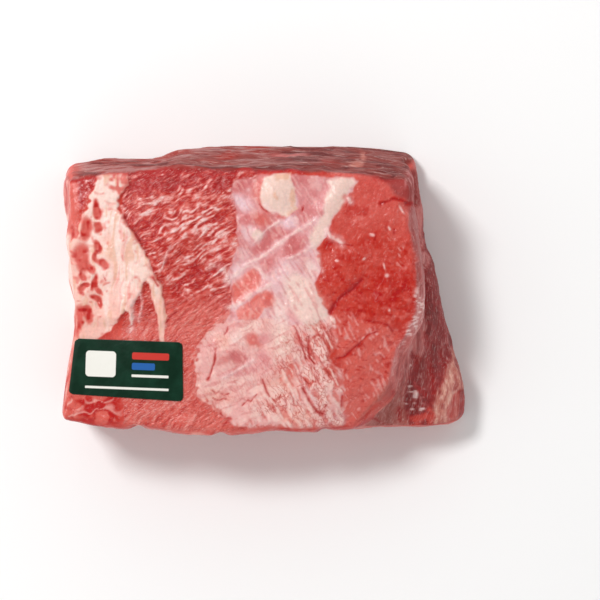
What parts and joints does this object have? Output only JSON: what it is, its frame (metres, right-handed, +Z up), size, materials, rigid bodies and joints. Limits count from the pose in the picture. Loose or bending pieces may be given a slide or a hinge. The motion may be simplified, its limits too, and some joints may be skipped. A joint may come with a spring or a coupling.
{
  "type": "raw bottom round roast",
  "caption": "Raw beef bottom round roast: one thick block of lean muscle with a fat band, pale silverskin, wet cut sides and a flat base, with a small plain stuck-on label",
  "frame": {"origin": "middle of the roast's footprint, on the surface it lies on", "axes": "+X along the length, from the end with the label towards the end where the muscles part; +Y across, from the side nearest the label to the side with the cut grain; +Z up"},
  "size_m": [0.1805, 0.1289, 0.0633],
  "materials": {
    "roast": "moist raw beef, red muscle with cream fat",
    "label": "glossy dark green sticker"
  },
  "bodies": {
    "root": {"roast": "roast", "label": "label"}
  },
  "joints": []
}
